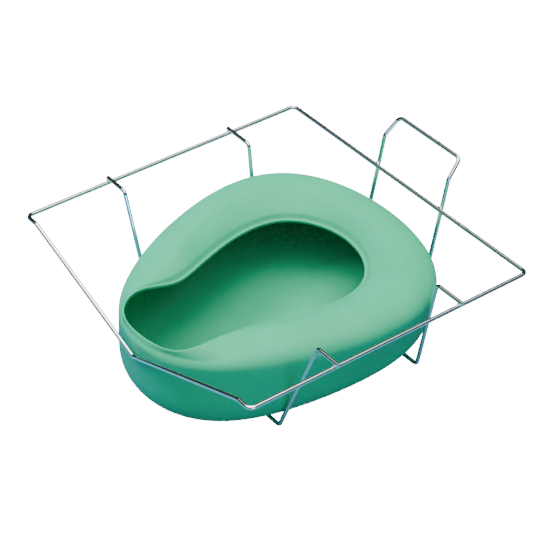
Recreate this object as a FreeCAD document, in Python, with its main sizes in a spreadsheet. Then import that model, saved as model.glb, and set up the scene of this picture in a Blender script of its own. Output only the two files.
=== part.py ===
"""A moulded bedpan in its welded wire holder.

The rails of the holder are level, +Y points to the wide back of the pan and -Y to its spout.
Everything is first laid out about the middle of the rectangle of rails, with Z = 0 on the centre
line of the rail wire, and then moved so that the origin is at the centre of the part's base.
"""

import FreeCAD, Part

import math
import os

import Sketcher
from FreeCAD import Placement, Rotation, Vector

DIMENSIONS = [
    # holder
    ("wire_diameter", 5.0, "thickness of every wire"),
    ("weld_sink", 0.4, "how far two welded wires are pressed into each other"),
    ("bend_radius", 6.5, "bends of the wires, on their centre line"),
    ("frame_width", 400.0, "between the centre lines of the side rails"),
    ("frame_length", 375.7, "between the centre lines of the front and rear rails"),
    ("dip_inset", 18.5, "level stub of the front rail, from the corner to the dip"),
    ("dip_depth", 66.4, "how far the middle of the front rail dips"),
    ("seam_inset", 11.1, "join of the level and the dipping run, inwards from the corner"),
    ("cradle_overhang", 3.5, "cut end of a cradle, past the centre line of the rail"),
    ("front_cradle_station", -77.8, "place of the front cradle along Y"),
    ("front_cradle_reach", 29.1, "level run of the front cradle, inwards from the rail"),
    ("front_cradle_inset", 85.2, "bottom corner of the front cradle, inwards from the rail"),
    ("front_cradle_depth", 138.9, "bottom of the front cradle, below the rails"),
    ("rear_cradle_station", 91.6, "place of the rear cradle along Y"),
    ("rear_cradle_reach", 36.7, "level run of the rear cradle, inwards from the rail"),
    ("rear_cradle_inset", 57.0, "bottom corner of the rear cradle, inwards from the rail"),
    ("rear_cradle_depth", 118.7, "bottom of the rear cradle, below the rails"),
    ("loop_offset", 3.4, "how far the loop is welded from the middle, towards +X"),
    ("loop_half_width", 54.1, "legs of the back loop, from the middle"),
    ("loop_top_half_width", 50.6, "top corners of the back loop, from the middle"),
    ("loop_lean", 0.176, "how far a leg leans back for each millimetre of height"),
    ("loop_bend_height", 36.6, "where the loop bends back, above the rails"),
    ("loop_top_height", 55.5, "top bar of the loop, above the rails"),
    ("loop_top_offset", 18.4, "top bar of the loop, behind its bend"),
    ("runner_overhang", 9.0, "cut end of a runner, in front of the front cradle"),
    ("weld_length", 4.2, "half length of a weld along the rail"),
    ("weld_width", 3.2, "half width of a weld across the rail"),
    ("weld_height", 2.2, "half height of a weld"),
    ("butt_weld_station", 96.0, "place of the butt weld of the frame along the rear rail"),
    ("butt_weld_radius", 2.95, "raised bead of the butt weld"),
    ("butt_weld_length", 1.4, "half length of the butt weld"),
    # pan, measured square to its own flat base
    ("pan_clearance", 0.3, "air between the base of the pan and the cradles"),
    ("pan_wall", 2.6, "thickness of the moulding"),
    ("top_half_width", 156.6, "outline of the shoulder: main half width"),
    ("top_egg", 21.1, "outline of the shoulder: how much wider the back is"),
    ("top_fullness", 6.1, "outline of the shoulder: roundness of the sides"),
    ("top_middle", 2.9, "outline of the shoulder: middle of its length along Y"),
    ("top_half_length", 177.9, "outline of the shoulder: half length"),
    ("belt_half_width", 151.0, "outline above the bottom rounding: main half width"),
    ("belt_egg", 14.0, "outline above the bottom rounding: how much wider the back is"),
    ("belt_fullness", 8.1, "outline above the bottom rounding: roundness of the sides"),
    ("belt_middle", -0.1, "outline above the bottom rounding: middle of its length along Y"),
    ("belt_half_length", 178.2, "outline above the bottom rounding: half length"),
    ("front_height", 113.8, "shoulder of the pan at the spout"),
    ("back_height", 93.4, "shoulder of the pan at the back"),
    ("spout_fall", 12.3, "how far the shoulder falls below that line round the front of the spout"),
    ("bottom_rounding", 37.0, "radius between base and wall"),
    ("shoulder_rounding", 20.0, "height of the rounding between wall and seat, sides and back"),
    ("shoulder_reach", 40.0, "how far that rounding runs in over the seat"),
    ("spout_rounding", 10.0, "radius between wall and rim, at the spout"),
    ("least_rounding", 0.6, "smallest radius inside a rounding of the moulding"),
    ("base_flat", 12.0, "level ring of the base inside its rounding"),
    ("opening_front", -166.0, "front end of the opening along Y"),
    ("spout_station", -124.0, "widest place of the spout along Y"),
    ("spout_half_width", 56.8, "half width of the opening in the spout"),
    ("waist_station", -85.5, "waist of the opening along Y"),
    ("waist_half_width", 51.9, "half width of the opening at its waist"),
    ("bowl_start_station", -46.7, "where the opening widens into the bowl, along Y"),
    ("bowl_start_half_width", 60.7, "half width of the opening there"),
    ("bowl_end_station", 83.9, "where the opening starts to close at the back, along Y"),
    ("bowl_end_half_width", 66.5, "half width of the opening there"),
    ("opening_back", 113.6, "back end of the opening along Y"),
    ("rim_drop_start", -149.5, "where the rim starts to fall from the spout, along Y"),
    ("rim_drop_end", -71.0, "where the rim has come down to the seat, along Y"),
    ("front_rim_height", 105.4, "rim of the opening at its front end, a shallow lip to pour over"),
    ("spout_rim_height", 110.5, "rim of the opening at the widest place of the spout"),
    ("waist_rim_height", 93.9, "rim of the opening at its waist"),
    ("back_rim_height", 75.9, "rim of the opening at its back end"),
    ("step_height", 4.5, "step from the seat down to the rim"),
    ("step_width", 4.6, "width of that step"),
    ("rim_width", 2.0, "level edge of the rim"),
    ("rim_face", 3.6, "height of the rim's face towards the opening"),
    ("rim_corner", 0.3, "softened corners of the rim"),
]

# how finely the pan is drawn: sections round it, and points over a rounding and over the seat
STATIONS = 64
ROUNDING_STEPS = 5
SEAT_STEPS = 5

# shares that shape the pan's section
WALL_SHARES = (1 / 3, 2 / 3)
ROUNDING_SHARE = 0.9
SEAT_HOLLOW = 0.4
STEP_BROW = 0.96
STEP_FOOT_WIDTH = 0.25
STEP_FOOT_HEIGHT = -0.12
STEP_MITRE = 0.55
RIM_TOP_SHARE = 0.8

TOUCH = 0.001


def new_sheet(doc):
    """Spreadsheet of the driving dimensions, in millimetres."""
    sheet = doc.addObject("Spreadsheet::Sheet", "Dimensions")
    for row, (alias, value, meaning) in enumerate(DIMENSIONS, start=1):
        sheet.set(f"A{row}", alias)
        sheet.set(f"B{row}", str(value))
        sheet.setAlias(f"B{row}", alias)
        sheet.set(f"C{row}", meaning)
    doc.recompute()
    return sheet


def cell(alias):
    """Name of a dimension inside an expression."""
    return f"Dimensions.{alias}"


# ---------------------------------------------------------------- wires bent in one plane


def origin_plane(body, role):
    """One of the body's own origin planes, such as XY_Plane."""
    return next(feature for feature in body.Origin.OriginFeatures if feature.Role == role)


def new_sketch(body, name, role, offset=None):
    """Empty sketch on an origin plane, moved along the plane's normal by an expression."""
    sketch = body.newObject("Sketcher::SketchObject", name)
    sketch.AttachmentSupport = (origin_plane(body, role), "")
    sketch.MapMode = "FlatFace"
    if offset:
        sketch.setExpression(".AttachmentOffset.Base.z", offset)
    return sketch


def bind_point(sketch, geometry, position, name, place):
    """Tie one point of the sketch to a pair of expressions."""
    for kind, expression in zip(("DistanceX", "DistanceY"), place):
        value = float(sketch.evalExpression(expression))
        index = sketch.addConstraint(Sketcher.Constraint(kind, -1, 1, geometry, position, value))
        sketch.renameConstraint(index, f"{name}_{kind[-1]}")
        sketch.setExpression(f"Constraints.{name}_{kind[-1]}", expression)


def unit(vector):
    """Vector of length 1."""
    return vector * (1.0 / vector.Length)


def bend_of(before, corner, after, radius):
    """Start, middle and end of the arc that rounds a corner of a wire."""
    inward = unit(before - corner)
    outward = unit(after - corner)
    half = inward.getAngle(outward) / 2
    trim = radius / math.tan(half)
    centre = corner + unit(inward + outward) * (radius / math.sin(half))
    middle = centre + unit(corner - centre) * radius
    return corner + inward * trim, middle, corner + outward * trim


def add_bent_path(sketch, corners):
    """Straight runs between corners, joined by tangent bends, all tied to the sheet."""
    radius = cell("bend_radius")
    bend = float(sketch.evalExpression(radius))
    points = [Vector(*(float(sketch.evalExpression(part)) for part in place)) for place in corners]
    bends = [bend_of(*points[k - 1:k + 2], bend) for k in range(1, len(points) - 1)]
    starts = [points[0]] + [end for _, _, end in bends]
    ends = [start for start, _, _ in bends] + [points[-1]]
    runs = [sketch.addGeometry(Part.LineSegment(a, b)) for a, b in zip(starts, ends)]
    for number, (start, middle, end) in enumerate(bends):
        arc = sketch.addGeometry(Part.Arc(start, middle, end))
        first = 1 if sketch.getPoint(arc, 1).isEqual(start, TOUCH) else 2
        sketch.addConstraint(Sketcher.Constraint("Tangent", runs[number], 2, arc, first))
        sketch.addConstraint(Sketcher.Constraint("Tangent", runs[number + 1], 1, arc, 3 - first))
        index = sketch.addConstraint(Sketcher.Constraint("Radius", arc, bend))
        sketch.renameConstraint(index, f"bend_{number}")
        sketch.setExpression(f"Constraints.bend_{number}", radius)
        corner = sketch.addGeometry(Part.Point(points[number + 1]), True)
        sketch.addConstraint(Sketcher.Constraint("PointOnObject", corner, 1, runs[number]))
        sketch.addConstraint(Sketcher.Constraint("PointOnObject", corner, 1, runs[number + 1]))
        bind_point(sketch, corner, 1, f"corner_{number}", corners[number + 1])
    bind_point(sketch, runs[0], 1, "first", corners[0])
    bind_point(sketch, runs[-1], 2, "last", corners[-1])


def add_wire(body, name, path_plane, path_offset, corners, end_plane, end_offset, end_centre):
    """Round wire swept along a bent path, from a circle at the path's first point."""
    path = new_sketch(body, f"{name}_path", path_plane, path_offset)
    add_bent_path(path, corners)
    profile = new_sketch(body, f"{name}_section", end_plane, end_offset)
    centre = Vector(*(float(profile.evalExpression(part)) for part in end_centre))
    radius = f"{cell('wire_diameter')} / 2"
    size = float(profile.evalExpression(radius))
    circle = profile.addGeometry(Part.Circle(centre, Vector(0, 0, 1), size))
    bind_point(profile, circle, 3, "centre", end_centre)
    index = profile.addConstraint(Sketcher.Constraint("Radius", circle, size))
    profile.setExpression(f"Constraints[{index}]", radius)
    pipe = body.newObject("PartDesign::AdditivePipe", f"{name}_wire")
    pipe.Profile = profile
    pipe.Spine = (path, [])
    body.Tip = pipe


def mirrored(corners):
    """The same corners on both sides of the middle, from +X to -X."""
    return corners + [(f"-({across})", up) for across, up in reversed(corners)]


def make_frame(doc):
    """Closed rectangle of wire; its front rail dips in a shallow V in front of the spout."""
    body = doc.addObject("PartDesign::Body", "FrameWire")
    body.Label = "frame_wire"
    side = f"{cell('frame_width')} / 2"
    rear = f"{cell('frame_length')} / 2"
    seam = f"{side} - {cell('seam_inset')}"
    rails = [(seam, f"-({rear})"), (side, f"-({rear})"), (side, rear)]
    add_wire(body, "rails", "XY_Plane", None, mirrored(rails),
             "YZ_Plane", seam, (f"-({rear})", "0"))
    dip = [(seam, "0"), (f"{side} - {cell('dip_inset')}", "0")]
    bottom = [("0", f"-{cell('dip_depth')}")]
    corners = dip + bottom + mirrored(dip)[len(dip):]
    add_wire(body, "dip", "XZ_Plane", rear, corners,
             "YZ_Plane", seam, (f"-({rear})", "0"))
    return body


def make_cradle(doc, end):
    """U of wire hung across the side rails; the pan's base rests on its bottom run."""
    body = doc.addObject("PartDesign::Body", f"{end.title()}CradleWire")
    body.Label = f"{end}_cradle_wire"
    side = f"{cell('frame_width')} / 2"
    tip = f"{side} + {cell('cradle_overhang')}"
    level = f"{cell('wire_diameter')} - {cell('weld_sink')}"
    arm = [
        (tip, level),
        (f"{side} - {cell(f'{end}_cradle_reach')}", level),
        (f"{side} - {cell(f'{end}_cradle_inset')}", f"-{cell(f'{end}_cradle_depth')}"),
    ]
    add_wire(body, "cradle", "XZ_Plane", None, mirrored(arm), "YZ_Plane", tip, ("0", level))
    body.setExpression(".Placement.Base.y", cell(f"{end}_cradle_station"))
    return body


# ---------------------------------------------------------------- back loop, bent in three planes


def runner_height(sheet, along):
    """Height of the runners' centre line, which crosses under both cradles."""
    contact = sheet.wire_diameter - sheet.weld_sink
    rise = (sheet.front_cradle_depth - sheet.rear_cradle_depth) / cradle_spacing(sheet)
    return -sheet.front_cradle_depth - contact + rise * (along - sheet.front_cradle_station)


def cradle_spacing(sheet):
    """Distance between the two cradles."""
    return sheet.rear_cradle_station - sheet.front_cradle_station


def loop_leg(sheet, height):
    """Place along Y of the loop's leg at a height; it is welded to the outside of the rear rail."""
    contact = sheet.wire_diameter - sheet.weld_sink
    return sheet.frame_length / 2 + contact + sheet.loop_lean * height


def loop_corners(sheet):
    """Corners of the back loop from the front end of one runner to the front end of the other."""
    front = sheet.front_cradle_station - sheet.runner_overhang
    rise = (runner_height(sheet, 1.0) - runner_height(sheet, 0.0))
    foot_height = runner_height(sheet, loop_leg(sheet, 0)) / (1 - rise * sheet.loop_lean)
    foot = loop_leg(sheet, foot_height)
    bend = loop_leg(sheet, sheet.loop_bend_height)
    half = sheet.loop_half_width
    side = [
        Vector(half, front, runner_height(sheet, front)),
        Vector(half, foot, foot_height),
        Vector(half, bend, sheet.loop_bend_height),
        Vector(sheet.loop_top_half_width, bend + sheet.loop_top_offset, sheet.loop_top_height),
    ]
    side += [Vector(-corner.x, corner.y, corner.z) for corner in reversed(side)]
    return [corner + Vector(sheet.loop_offset, 0, 0) for corner in side]


def make_back_loop(doc, sheet):
    """Wire that backs the pan as a raised loop and runs forward under both cradles."""
    corners = loop_corners(sheet)
    edges = []
    start = corners[0]
    for before, corner, after in zip(corners, corners[1:], corners[2:]):
        first, middle, last = bend_of(before, corner, after, sheet.bend_radius)
        edges.append(Part.LineSegment(start, first).toShape())
        edges.append(Part.Arc(first, middle, last).toShape())
        start = last
    edges.append(Part.LineSegment(start, corners[-1]).toShape())
    path = doc.addObject("Part::Feature", "BackLoopPath")
    path.Shape = Part.Wire(edges)
    section = doc.addObject("Part::Circle", "BackLoopSection")
    section.setExpression("Radius", f"{cell('wire_diameter')} / 2")
    turn = Rotation(Vector(0, 0, 1), corners[1] - corners[0])
    section.Placement = Placement(corners[0], turn)
    sweep = doc.addObject("Part::Sweep", "BackLoopWire")
    sweep.Label = "back_loop_wire"
    sweep.Sections = [section]
    sweep.Spine = (path, [f"Edge{number}" for number in range(1, len(edges) + 1)])
    sweep.Solid = True
    sweep.Frenet = False
    return sweep


# ---------------------------------------------------------------- welds


def add_weld(doc, label, place, radii):
    """Nugget and flash of one weld: radii are along X, Y and Z, as expressions."""
    weld = doc.addObject("Part::Ellipsoid", label.title().replace("_", ""))
    weld.Label = label
    for name, expression in zip(("Radius2", "Radius3", "Radius1"), radii):
        weld.setExpression(name, expression)
    weld.Angle1 = -90
    weld.Angle2 = 90
    weld.Angle3 = 360
    for axis, expression in zip("xyz", place):
        weld.setExpression(f".Placement.Base.{axis}", expression)
    return weld


def make_welds(doc):
    """Welds where the cradles, the runners and the loop cross the other wires."""
    length, width, height = (cell(f"weld_{part}") for part in ("length", "width", "height"))
    half_contact = f"({cell('wire_diameter')} - {cell('weld_sink')}) / 2"
    rear = f"{cell('frame_length')} / 2"
    welds = []
    for side, sign in (("left", "-"), ("right", "")):
        rail = f"{sign}{cell('frame_width')} / 2"
        leg = f"{cell('loop_offset')} + {sign}{cell('loop_half_width')}"
        for end in ("front", "rear"):
            station = cell(f"{end}_cradle_station")
            welds.append(add_weld(doc, f"{end}_{side}_rail_weld", (rail, station, half_contact),
                                  (width, length, height)))
            bottom = f"-{cell(f'{end}_cradle_depth')} - {half_contact}"
            welds.append(add_weld(doc, f"{end}_{side}_runner_weld", (leg, station, bottom),
                                  (length, width, height)))
        welds.append(add_weld(doc, f"{side}_loop_weld", (leg, f"{rear} + {half_contact}", "0"),
                              (length, height, width)))
    bead = cell("butt_weld_radius")
    welds.append(add_weld(doc, "frame_butt_weld", (cell("butt_weld_station"), rear, "0"),
                          (cell("butt_weld_length"), bead, bead)))
    return welds


# ---------------------------------------------------------------- pan


def smooth_step(value):
    """0 below 0 and 1 above 1, with a smooth rise between."""
    value = min(max(value, 0.0), 1.0)
    return value * value * (3 - 2 * value)


def blend(start, end, share):
    """Value or vector a share of the way from start to end."""
    return start + (end - start) * share


def spaced(curve, count):
    """Points at equal steps of length along a closed curve, from its first point."""
    wire = Part.Wire(curve.toShape())
    return wire.discretize(Number=count + 1)[:-1]


def egg_outline(sheet, name):
    """Egg-shaped outline of the pan, narrow at the spout."""
    sizes = [getattr(sheet, f"{name}_{part}") for part in
             ("half_width", "egg", "fullness", "middle", "half_length")]
    half_width, egg, fullness, middle, half_length = sizes
    points = []
    for number in range(STATIONS):
        angle = 2 * math.pi * number / STATIONS
        across = half_width * math.sin(angle) - egg * math.sin(2 * angle)
        across += fullness * math.sin(3 * angle)
        points.append(Vector(across, middle - half_length * math.cos(angle), 0))
    return closed_curve(points)


def opening_outline(sheet):
    """Outline of the opening: a round spout, a waist and a wide bowl."""
    side = [
        Vector(sheet.spout_half_width, sheet.spout_station, 0),
        Vector(sheet.waist_half_width, sheet.waist_station, 0),
        Vector(sheet.bowl_start_half_width, sheet.bowl_start_station, 0),
        Vector(sheet.bowl_end_half_width, sheet.bowl_end_station, 0),
    ]
    other = [Vector(-point.x, point.y, 0) for point in reversed(side)]
    front = Vector(0, sheet.opening_front, 0)
    back = Vector(0, sheet.opening_back, 0)
    return closed_curve([front] + side + [back] + other)


def closed_curve(points):
    """Smooth closed curve through points."""
    curve = Part.BSplineCurve()
    curve.interpolate(points, PeriodicFlag=True)
    return curve


def outward(points, number):
    """Level direction away from the pan at one point of a closed outline."""
    along = points[(number + 1) % len(points)] - points[number - 1]
    return unit(Vector(along.y, -along.x, 0))


def shoulder_height(sheet, along, spout):
    """Height of the pan's shoulder: down from spout to back, and lower under the spout's rim."""
    share = (along - sheet.top_middle + sheet.top_half_length) / (2 * sheet.top_half_length)
    return blend(sheet.front_height, sheet.back_height, share) - sheet.spout_fall * (1 - spout)


def rim_height(sheet, along):
    """Height of the opening's rim: high round the spout, low round the bowl."""
    lip_share = (sheet.spout_station - along) / (sheet.spout_station - sheet.opening_front)
    spout = blend(sheet.spout_rim_height, sheet.front_rim_height, smooth_step(lip_share))
    bowl_share = (along - sheet.waist_station) / (sheet.opening_back - sheet.waist_station)
    bowl = blend(sheet.waist_rim_height, sheet.back_rim_height, bowl_share)
    return blend(spout, bowl, spout_share(sheet, along))


def spout_share(sheet, along):
    """0 round the front of the spout and 1 where the rim has come down to the seat."""
    return smooth_step((along - sheet.rim_drop_start) / (sheet.rim_drop_end - sheet.rim_drop_start))


def meridian(sheet, top, belt, opening, number):
    """Section of the moulding at one place: up its outside, over the seat and down its inside."""
    shoulder_out = outward(top, number)
    belt_out = outward(belt, number)
    rim_out = outward(opening, number)
    spout = spout_share(sheet, opening[number].y)
    crest = shoulder_height(sheet, top[number].y, spout)
    rim = rim_height(sheet, opening[number].y)
    step = sheet.step_height * spout
    gap = (top[number] - opening[number]).Length - sheet.rim_width - sheet.step_width * spout
    most = gap * ROUNDING_SHARE
    rounding = min(blend(sheet.spout_rounding, sheet.shoulder_rounding, spout), most)
    reach = min(blend(sheet.spout_rounding, sheet.shoulder_reach, spout), most)
    hollow = SEAT_HOLLOW * spout
    seat_shares = [count / SEAT_STEPS for count in range(1, SEAT_STEPS)] + [STEP_BROW]
    lean = max(math.atan2(rim + step - crest, gap), 0.0)

    def skin(depth):
        """Points of one face of the moulding; depth is 0 outside and the wall inside."""
        bottom = sheet.bottom_rounding - depth
        turn = max(rounding - depth, sheet.least_rounding)
        across = max(reach - depth, sheet.least_rounding)
        shares = [count / ROUNDING_STEPS for count in range(ROUNDING_STEPS + 1)]
        floor = belt[number] - belt_out * (sheet.bottom_rounding + sheet.base_flat)
        points = [floor + Vector(0, 0, depth)]
        for angle in [math.pi / 2 * share for share in shares]:
            inset = depth + bottom * (1 - math.sin(angle))
            up = depth + bottom * (1 - math.cos(angle))
            points.append(belt[number] - belt_out * inset + Vector(0, 0, up))
        low = belt[number] - belt_out * depth + Vector(0, 0, sheet.bottom_rounding)
        high = top[number] - shoulder_out * depth + Vector(0, 0, crest - depth - turn)
        points += [blend(low, high, share) for share in WALL_SHARES]
        for angle in [(math.pi / 2 - lean) * share for share in shares]:
            inset = depth + across * (1 - math.cos(angle))
            up = crest - depth - turn * (1 - math.sin(angle))
            points.append(top[number] - shoulder_out * inset + Vector(0, 0, up))
        outer = points[-1]
        mitre = STEP_MITRE * depth * spout
        edge_inset = sheet.rim_width + sheet.step_width * spout + mitre
        inner = opening[number] + rim_out * edge_inset + Vector(0, 0, rim + step - depth)
        for share in seat_shares:
            point = blend(outer, inner, share)
            point.z = blend(outer.z, inner.z, share * (1 - hollow * (1 - share)))
            points.append(point)
        points.append(inner)
        foot_inset = sheet.rim_width + sheet.step_width * spout * STEP_FOOT_WIDTH + mitre
        foot = opening[number] + rim_out * foot_inset
        points.append(foot + Vector(0, 0, rim + step * STEP_FOOT_HEIGHT - depth))
        return points

    lip = opening[number]
    corner = sheet.rim_corner
    edge = [(sheet.rim_width * RIM_TOP_SHARE, 0), (corner, 0), (0, corner)]
    turned = [lip + rim_out * inset + Vector(0, 0, rim - drop) for inset, drop in edge]
    turned += [lip + rim_out * inset + Vector(0, 0, rim - sheet.rim_face + drop)
               for inset, drop in reversed(edge)]
    return skin(0.0) + turned + skin(sheet.pan_wall)[::-1]


def closed_skin(poles):
    """Smooth face through rings of poles, closed round the pan and open at both end rings."""
    rings = len(poles[0])
    around = len(poles)
    surface = Part.BSplineSurface()
    surface.buildFromPolesMultsKnots(
        poles,
        [1] * (around + 1), [4] + [1] * (rings - 4) + [4],
        [float(knot) for knot in range(around + 1)], [float(knot) for knot in range(rings - 2)],
        True, False, 3, 3)
    return surface.toShape()


def make_pan(doc, sheet):
    """One moulding of even wall: flat base, round bottom, seat and keyhole-shaped opening."""
    top = spaced(egg_outline(sheet, "top"), STATIONS)
    belt = spaced(egg_outline(sheet, "belt"), STATIONS)
    opening = spaced(opening_outline(sheet), STATIONS)
    face = closed_skin([meridian(sheet, top, belt, opening, k) for k in range(STATIONS)])
    rings = [edge for edge in face.Edges if edge.BoundBox.ZLength < TOUCH]
    caps = [Part.Face(Part.Wire(ring)) for ring in rings]
    shell = Part.makeShell([face] + caps)
    shell.sewShape()
    solid = Part.makeSolid(shell)
    if solid.Volume < 0:
        solid.reverse()
    pan = doc.addObject("Part::Feature", "Pan")
    pan.Label = "pan"
    pan.Shape = solid
    rise = (sheet.front_cradle_depth - sheet.rear_cradle_depth) / cradle_spacing(sheet)
    tilt = math.atan(rise)
    bearing = sheet.wire_diameter / 2 / math.cos(tilt) + sheet.pan_clearance
    height = -sheet.front_cradle_depth - rise * sheet.front_cradle_station + bearing
    pan.Placement = Placement(Vector(0, 0, height), Rotation(Vector(1, 0, 0), math.degrees(tilt)))
    return pan


# ---------------------------------------------------------------- document


def check(doc, parts):
    """Stop if any feature failed or any piece is empty or broken."""
    for item in doc.Objects:
        if {"Invalid", "Error"} & set(item.State):
            raise RuntimeError(f"{item.Label} failed: {item.State}")
    for part in parts:
        if part.Shape.isNull() or not part.Shape.isValid():
            raise RuntimeError(f"{part.Label} has a bad shape")


def place_on_origin(shapes):
    """Move all pieces together so that the origin is at the centre of the part's base."""
    box = FreeCAD.BoundBox()
    for shape in shapes:
        box.add(shape.optimalBoundingBox(False))
    shift = Vector(-box.Center.x, -box.Center.y, -box.ZMin)
    print("origin moved by", [round(value, 3) for value in shift])
    for shape in shapes:
        shape.translate(shift)


def main():
    """Build the document and write one STEP file for each piece."""
    doc = FreeCAD.newDocument("Bedpan")
    sheet = new_sheet(doc)
    parts = [make_frame(doc), make_cradle(doc, "front"), make_cradle(doc, "rear")]
    parts += [make_back_loop(doc, sheet), make_pan(doc, sheet)]
    parts += make_welds(doc)
    doc.recompute()
    check(doc, parts)
    shapes = [part.Shape.copy() for part in parts]
    place_on_origin(shapes)
    os.makedirs("parts", exist_ok=True)
    for part, shape in zip(parts, shapes):
        print(part.Label, round(shape.Volume, 1), len(shape.Solids))
        shape.exportStep(f"parts/{part.Label}.step")


main()
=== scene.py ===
"""Looks of a moulded bedpan in its chromed wire holder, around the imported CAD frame."""

import math

import bmesh
import bpy
from mathutils import Matrix, Vector, noise


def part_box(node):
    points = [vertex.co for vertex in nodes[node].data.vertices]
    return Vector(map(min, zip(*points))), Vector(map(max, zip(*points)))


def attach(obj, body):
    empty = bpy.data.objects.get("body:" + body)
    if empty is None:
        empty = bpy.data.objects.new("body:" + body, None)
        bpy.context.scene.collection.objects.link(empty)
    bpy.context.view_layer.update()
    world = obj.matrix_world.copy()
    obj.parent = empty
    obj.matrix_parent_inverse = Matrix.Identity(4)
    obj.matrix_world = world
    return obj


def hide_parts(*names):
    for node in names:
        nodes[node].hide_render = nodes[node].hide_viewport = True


# camera: place and reach in metres, angles in degrees, lens in millimetres
CAMERA_PLACE = Vector((1.4786, -1.2305, 1.5789))
CAMERA_YAW = -50.5
CAMERA_PITCH = 37.6
CAMERA_ROLL = -2.1
CAMERA_LENS = 144.07
CAMERA_REACH = 20

# room light: bright round a direction that leans a little from overhead to the front right,
# and dark round the horizon; the change runs between two cosines of the angle to that direction
ROOM_TOP = (0.17, -0.14, 0.975)
ROOM_DIM = 0.04
ROOM_BRIGHT = 3.2
ROOM_DARK_BELOW = 0.60
ROOM_WHITE_ABOVE = 0.92

# lamps all aim at the middle of the pan
LAMP_AIM = Vector((0, 0, 0.07))
WHITE = (1, 1, 1)
SKY_BLUE = (0.15, 0.65, 1.0)
DEEP_BLUE = (0.0, 0.22, 1.0)

# floor: its size in metres, how the camera sees it, and how the object does
FLOOR_SIZE = 30
FLOOR_COLOUR = (0.90, 0.91, 0.92, 1)
FLOOR_GLOW = 16.0
TABLE_COLOUR = (0.05, 0.20, 0.25, 1)

# colours of the finishes, each from its darker to its lighter patches
GREEN_DEEP = (0.016, 0.318, 0.150, 1)
GREEN_PALE = (0.020, 0.350, 0.168, 1)
CHROME_DULL = (0.78, 0.79, 0.80, 1)
CHROME_BRIGHT = (0.88, 0.89, 0.90, 1)
WELD_DARK = (0.42, 0.43, 0.44, 1)
WELD_LIGHT = (0.72, 0.73, 0.74, 1)

# welds: waves of their surface over its radius, how deep the waves are, how finely the surface
# is divided, and how far apart in the noise two welds a metre apart are
WELD_RIPPLE = 1.7
WELD_LUMP = 0.16
WELD_DIVISIONS = 4
WELD_VARIETY = 1000


# ---------------------------------------------------------------- studio


def add_camera():
    """Long lens looking down on the pan from the front right."""
    yaw, pitch, roll = (math.radians(angle) for angle in (CAMERA_YAW, CAMERA_PITCH, CAMERA_ROLL))
    forward = Vector((math.sin(yaw) * math.cos(pitch), math.cos(yaw) * math.cos(pitch),
                      -math.sin(pitch)))
    right = forward.cross(Vector((0, 0, 1))).normalized()
    up = right.cross(forward)
    turned_right = right * math.cos(roll) - up * math.sin(roll)
    turned_up = up * math.cos(roll) + right * math.sin(roll)
    data = bpy.data.cameras.new("camera")
    data.lens = CAMERA_LENS
    data.clip_end = CAMERA_REACH
    camera = bpy.data.objects.new("camera", data)
    rotation = Matrix((turned_right, turned_up, -forward)).transposed()
    camera.matrix_world = Matrix.Translation(CAMERA_PLACE) @ rotation.to_4x4()
    bpy.context.scene.collection.objects.link(camera)
    bpy.context.scene.camera = camera


def floor_material():
    """Pale to look at; the object is lit by it, and mirrors it, as by a dark teal table."""
    material, tree, seen = new_material("pale_floor")
    seen.inputs["Base Color"].default_value = FLOOR_COLOUR
    seen.inputs["Roughness"].default_value = 1.0
    seen.inputs["Specular IOR Level"].default_value = 0.0
    seen.inputs["Emission Color"].default_value = (*WHITE, 1)
    seen.inputs["Emission Strength"].default_value = FLOOR_GLOW
    bounced = tree.nodes.new("ShaderNodeBsdfDiffuse")
    bounced.inputs["Color"].default_value = TABLE_COLOUR
    path = tree.nodes.new("ShaderNodeLightPath")
    mix = tree.nodes.new("ShaderNodeMixShader")
    tree.links.new(path.outputs["Is Camera Ray"], mix.inputs["Fac"])
    tree.links.new(bounced.outputs["BSDF"], mix.inputs[1])
    tree.links.new(seen.outputs["BSDF"], mix.inputs[2])
    tree.links.new(mix.outputs["Shader"], tree.nodes["Material Output"].inputs["Surface"])
    return material


def add_floor(height):
    """Wide pale floor."""
    bpy.ops.mesh.primitive_plane_add(size=FLOOR_SIZE, location=(0, 0, height))
    floor = bpy.context.object
    floor.name = "floor"
    floor.data.materials.append(floor_material())


def add_lamp(name, place, size, power, colour, mirrored=True):
    """Soft rectangular lamp over the pan; one that isn't mirrored doesn't show in the chrome."""
    data = bpy.data.lights.new(name, "AREA")
    data.shape = "RECTANGLE"
    data.size, data.size_y = size
    data.energy = power
    data.color = colour
    lamp = bpy.data.objects.new(name, data)
    lamp.visible_glossy = mirrored
    lamp.location = place
    lamp.rotation_euler = (LAMP_AIM - Vector(place)).to_track_quat("-Z", "Y").to_euler()
    bpy.context.scene.collection.objects.link(lamp)


def add_room():
    """Surroundings that are white overhead and dark round the horizon."""
    world = bpy.data.worlds.new("room")
    world.use_nodes = True
    tree = world.node_tree
    coordinates = tree.nodes.new("ShaderNodeTexCoord")
    nearness = tree.nodes.new("ShaderNodeVectorMath")
    nearness.operation = "DOT_PRODUCT"
    nearness.inputs[1].default_value = ROOM_TOP
    tree.links.new(coordinates.outputs["Generated"], nearness.inputs[0])
    strength = tree.nodes.new("ShaderNodeMapRange")
    strength.interpolation_type = "SMOOTHSTEP"
    strength.inputs["From Min"].default_value = ROOM_DARK_BELOW
    strength.inputs["From Max"].default_value = ROOM_WHITE_ABOVE
    strength.inputs["To Min"].default_value = ROOM_DIM
    strength.inputs["To Max"].default_value = ROOM_BRIGHT
    tree.links.new(nearness.outputs["Value"], strength.inputs["Value"])
    tree.links.new(strength.outputs["Result"], tree.nodes["Background"].inputs["Strength"])
    tree.nodes["Background"].inputs["Color"].default_value = (*WHITE, 1)
    bpy.context.scene.world = world


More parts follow.
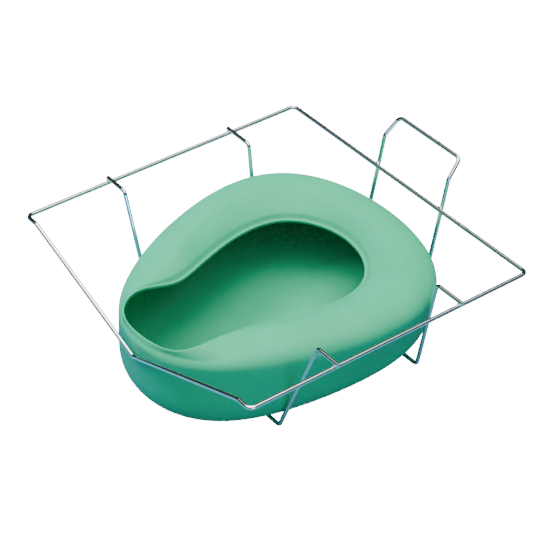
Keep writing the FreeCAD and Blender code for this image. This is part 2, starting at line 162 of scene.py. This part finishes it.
def add_lights():
    """Softboxes high round the pan and overhead, with blue fills low at both sides."""
    add_lamp("back_softbox", place=(-1.3, 0.5, 1.7), size=(0.9, 0.7), power=40, colour=WHITE,
             mirrored=False)
    add_lamp("left_softbox", place=(-1.0, -1.2, 1.7), size=(0.9, 0.7), power=38, colour=WHITE,
             mirrored=False)
    add_lamp("top_softbox", place=(0.0, 0.0, 2.2), size=(1.2, 1.2), power=28, colour=WHITE)
    add_lamp("far_softbox", place=(0.9, 0.6, 1.9), size=(0.6, 0.6), power=2, colour=WHITE)
    add_lamp("right_fill", place=(2.0, -0.4, 0.2), size=(1.2, 0.5), power=17, colour=SKY_BLUE)
    add_lamp("blue_fill", place=(-1.7, -1.2, 0.2), size=(0.6, 0.4), power=36, colour=DEEP_BLUE,
             mirrored=False)


# ---------------------------------------------------------------- materials


def new_material(name):
    """Material with its node tree and Principled shader."""
    material = bpy.data.materials.new(name)
    material.use_nodes = True
    tree = material.node_tree
    return material, tree, tree.nodes["Principled BSDF"]


def cloudy(tree, scale, detail, stretch=(1, 1, 1)):
    """Noise in object space; scale is in waves per metre, and a stretch below 1 draws it out."""
    coordinates = tree.nodes.new("ShaderNodeTexCoord")
    mapping = tree.nodes.new("ShaderNodeMapping")
    mapping.inputs["Scale"].default_value = stretch
    texture = tree.nodes.new("ShaderNodeTexNoise")
    texture.inputs["Scale"].default_value = scale
    texture.inputs["Detail"].default_value = detail
    tree.links.new(coordinates.outputs["Object"], mapping.inputs["Vector"])
    tree.links.new(mapping.outputs["Vector"], texture.inputs["Vector"])
    return texture.outputs["Fac"]


def tinted(tree, source, shader, low, high):
    """Base colour that runs between two colours; low and high are (position, colour)."""
    node = tree.nodes.new("ShaderNodeValToRGB")
    node.color_ramp.elements[0].position, node.color_ramp.elements[0].color = low
    node.color_ramp.elements[1].position, node.color_ramp.elements[1].color = high
    tree.links.new(source, node.inputs["Fac"])
    tree.links.new(node.outputs["Color"], shader.inputs["Base Color"])


def roughened(tree, source, shader, low, high):
    """Roughness that runs between low and high."""
    node = tree.nodes.new("ShaderNodeMapRange")
    node.inputs["To Min"].default_value = low
    node.inputs["To Max"].default_value = high
    tree.links.new(source, node.inputs["Value"])
    tree.links.new(node.outputs["Result"], shader.inputs["Roughness"])


def add_bump(tree, height, strength, distance, under=None):
    """Surface relief from a height value, over other relief; distance is in metres."""
    bump = tree.nodes.new("ShaderNodeBump")
    bump.inputs["Strength"].default_value = strength
    bump.inputs["Distance"].default_value = distance
    tree.links.new(height, bump.inputs["Height"])
    if under:
        tree.links.new(under, bump.inputs["Normal"])
    return bump.outputs["Normal"]


def green_plastic():
    """Pigmented polypropylene: satin, faintly cloudy, with fine mould grain and long flow marks."""
    material, tree, shader = new_material("green_plastic")
    clouds = cloudy(tree, scale=18, detail=3)
    tinted(tree, clouds, shader, low=(0.3, GREEN_DEEP), high=(0.7, GREEN_PALE))
    scuffs = cloudy(tree, scale=60, detail=6, stretch=(1, 0.25, 1))
    roughened(tree, scuffs, shader, low=0.34, high=0.50)
    shader.inputs["IOR"].default_value = 1.5
    shader.inputs["Specular IOR Level"].default_value = 0.15
    grain = add_bump(tree, cloudy(tree, scale=900, detail=2), strength=0.08, distance=0.0004)
    flow_marks = cloudy(tree, scale=70, detail=2, stretch=(1, 0.15, 1))
    flow = add_bump(tree, flow_marks, strength=0.05, distance=0.002, under=grain)
    tree.links.new(flow, shader.inputs["Normal"])
    return material


def chromed_wire():
    """Bright nickel-chrome plating over drawn wire that isn't perfectly even."""
    material, tree, shader = new_material("chromed_wire")
    shader.inputs["Metallic"].default_value = 1.0
    patches = cloudy(tree, scale=120, detail=3)
    tinted(tree, patches, shader, low=(0.3, CHROME_DULL), high=(0.7, CHROME_BRIGHT))
    roughened(tree, cloudy(tree, scale=400, detail=3), shader, low=0.04, high=0.12)
    waves = add_bump(tree, cloudy(tree, scale=160, detail=2), strength=0.12, distance=0.0006)
    tree.links.new(waves, shader.inputs["Normal"])
    return material


def weld_metal():
    """Plated weld: darker and rougher than the wire, with a pitted skin."""
    material, tree, shader = new_material("weld_metal")
    shader.inputs["Metallic"].default_value = 1.0
    patches = cloudy(tree, scale=700, detail=4)
    tinted(tree, patches, shader, low=(0.35, WELD_DARK), high=(0.65, WELD_LIGHT))
    roughened(tree, cloudy(tree, scale=900, detail=3), shader, low=0.14, high=0.40)
    pits = add_bump(tree, cloudy(tree, scale=1600, detail=3), strength=0.35, distance=0.0003)
    tree.links.new(pits, shader.inputs["Normal"])
    return material


def dress(objects, material):
    """Give objects one material."""
    for piece in objects:
        piece.data.materials.clear()
        piece.data.materials.append(material)


# ---------------------------------------------------------------- welds


def weld_nugget(node, material):
    """Lumpy nugget of squeezed-out metal in the place of one CAD weld."""
    low, high = (Vector(corner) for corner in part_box(node))
    middle = (low + high) / 2
    half = Matrix.Diagonal((high - low) / 2)
    ball = bmesh.new()
    bmesh.ops.create_icosphere(ball, subdivisions=WELD_DIVISIONS, radius=1.0)
    for vertex in ball.verts:
        wave = noise.noise(vertex.co * WELD_RIPPLE + middle * WELD_VARIETY)
        vertex.co = middle + half @ vertex.co * (1 - WELD_LUMP * (0.5 + 0.5 * wave))
    for face in ball.faces:
        face.smooth = True
    mesh = bpy.data.meshes.new(node + "_nugget")
    ball.to_mesh(mesh)
    ball.free()
    mesh.materials.append(material)
    nugget = bpy.data.objects.new(node + "_nugget", mesh)
    bpy.context.scene.collection.objects.link(nugget)
    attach(nugget, "holder")
    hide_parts(node)


# ---------------------------------------------------------------- scene

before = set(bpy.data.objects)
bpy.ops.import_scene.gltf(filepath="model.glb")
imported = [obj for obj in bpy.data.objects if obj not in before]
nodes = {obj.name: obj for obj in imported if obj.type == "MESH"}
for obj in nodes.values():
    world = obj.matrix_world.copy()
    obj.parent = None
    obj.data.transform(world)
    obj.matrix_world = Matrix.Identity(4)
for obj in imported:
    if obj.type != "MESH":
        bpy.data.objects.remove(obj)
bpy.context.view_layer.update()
add_camera()
add_floor(height=0.0)
add_lights()
add_room()
dress([nodes["pan"]], green_plastic())
dress([node for name, node in nodes.items() if name.endswith("_wire")], chromed_wire())
weld_finish = weld_metal()
for name in nodes:
    if name.endswith("_weld"):
        weld_nugget(name, weld_finish)
